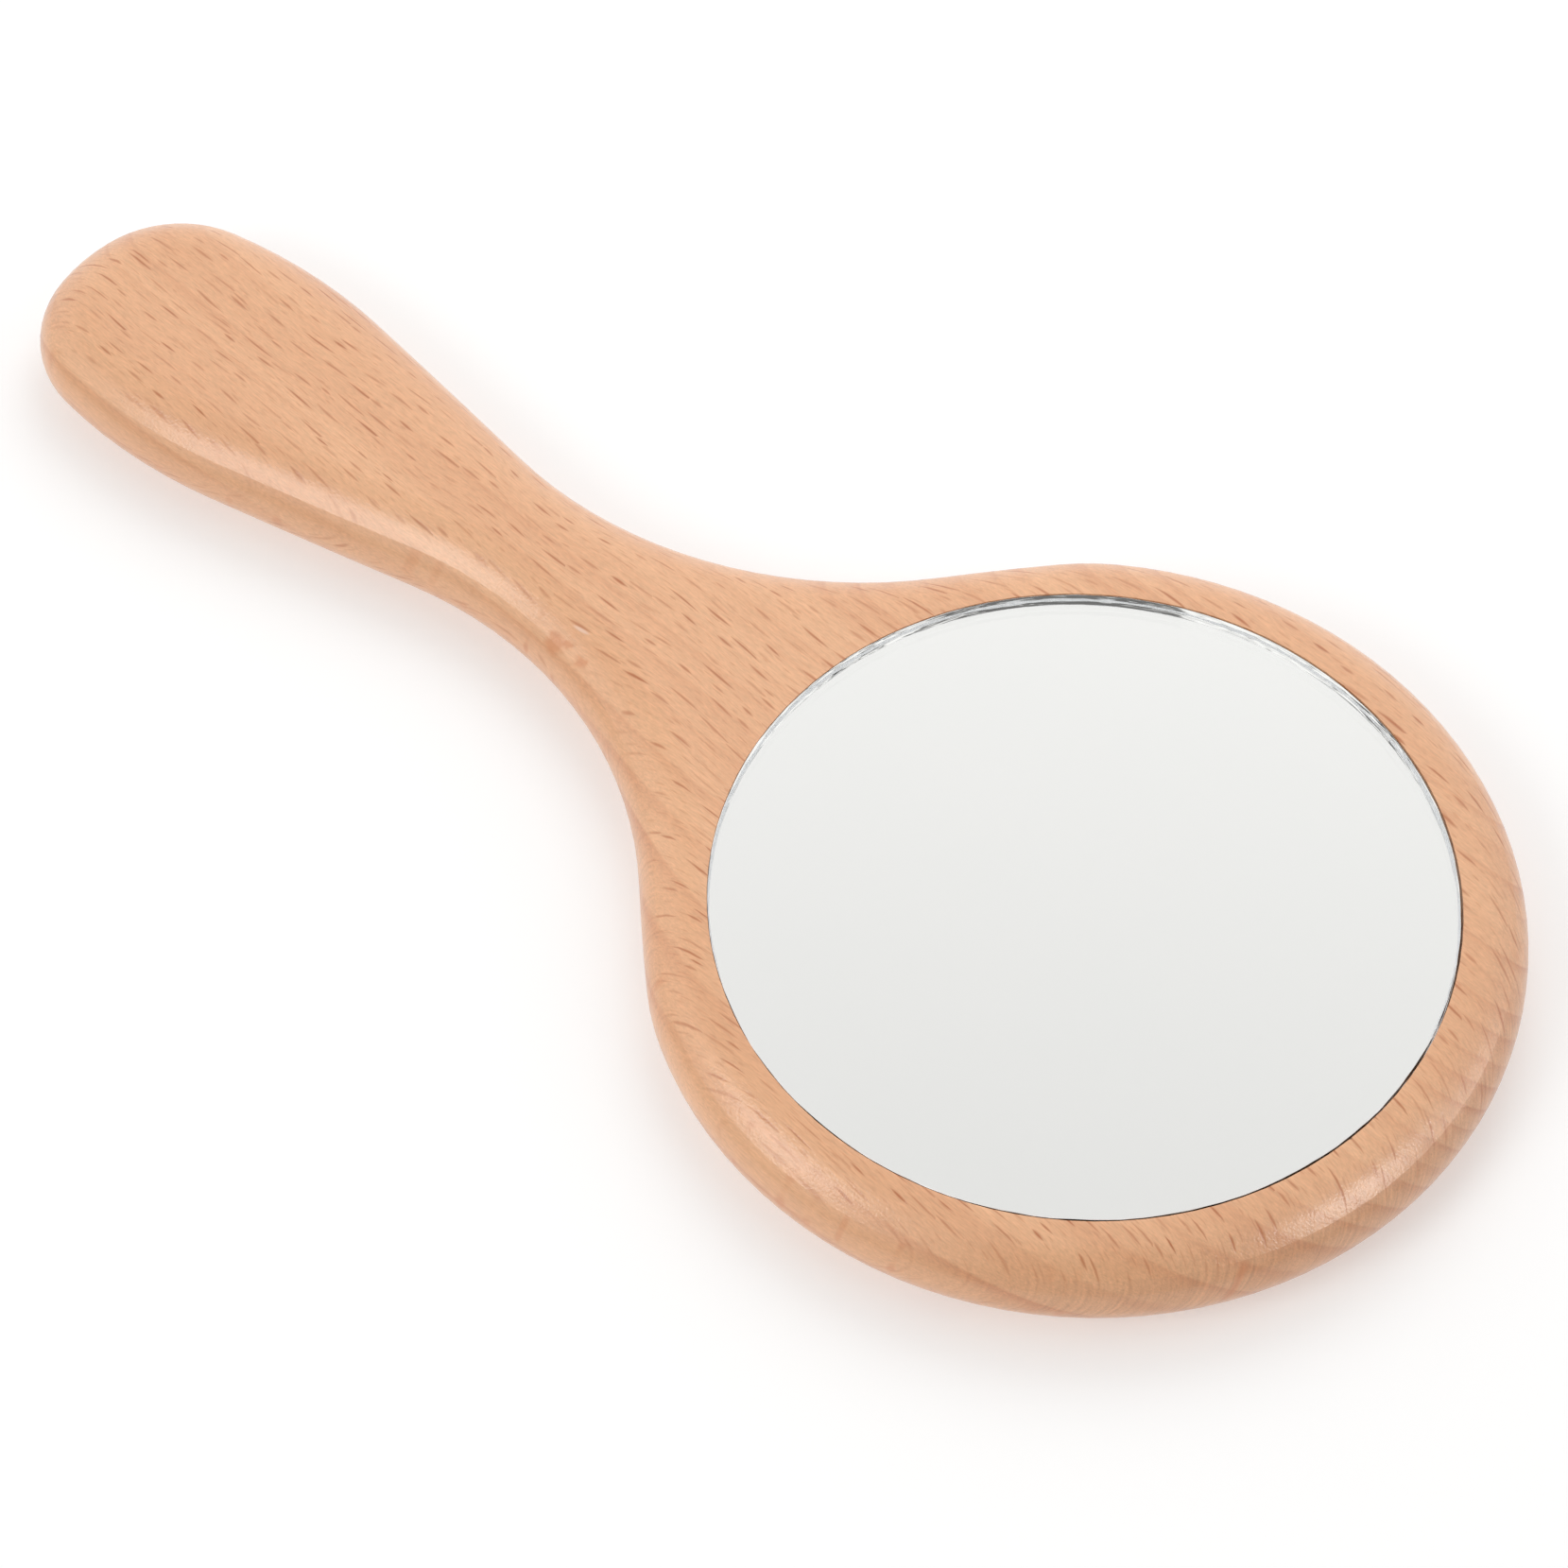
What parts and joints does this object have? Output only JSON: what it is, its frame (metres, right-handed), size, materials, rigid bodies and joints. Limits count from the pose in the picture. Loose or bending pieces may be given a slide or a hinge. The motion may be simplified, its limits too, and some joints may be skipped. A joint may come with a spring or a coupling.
{
  "type": "hand mirror",
  "caption": "Wooden hand mirror: a flat board with a round head, a waisted neck and a paddle handle, soft rounded edges, and a flush disc of mirror glass in the head.",
  "frame": {"origin": "under the middle of the board's outline, on the flat back face that the mirror rests on", "axes": "+X along the length, from the handle's end towards the head; +Z out of the glass; the handle points to -X"},
  "size_m": [0.2456, 0.119, 0.0136],
  "materials": {
    "wood": "satin lacquered beech",
    "glass": "polished, with a cut edge",
    "silver": "reflecting coat",
    "backing_paint": "matt protective paint",
    "adhesive": "white foam"
  },
  "bodies": {
    "root": {"wood_body": "wood", "mirror_glass": "glass", "silver_layer": "silver", "backing_paint": "backing_paint", "adhesive_pad_1": "adhesive", "adhesive_pad_2": "adhesive", "adhesive_pad_3": "adhesive", "adhesive_pad_4": "adhesive", "adhesive_pad_5": "adhesive"}
  },
  "joints": []
}
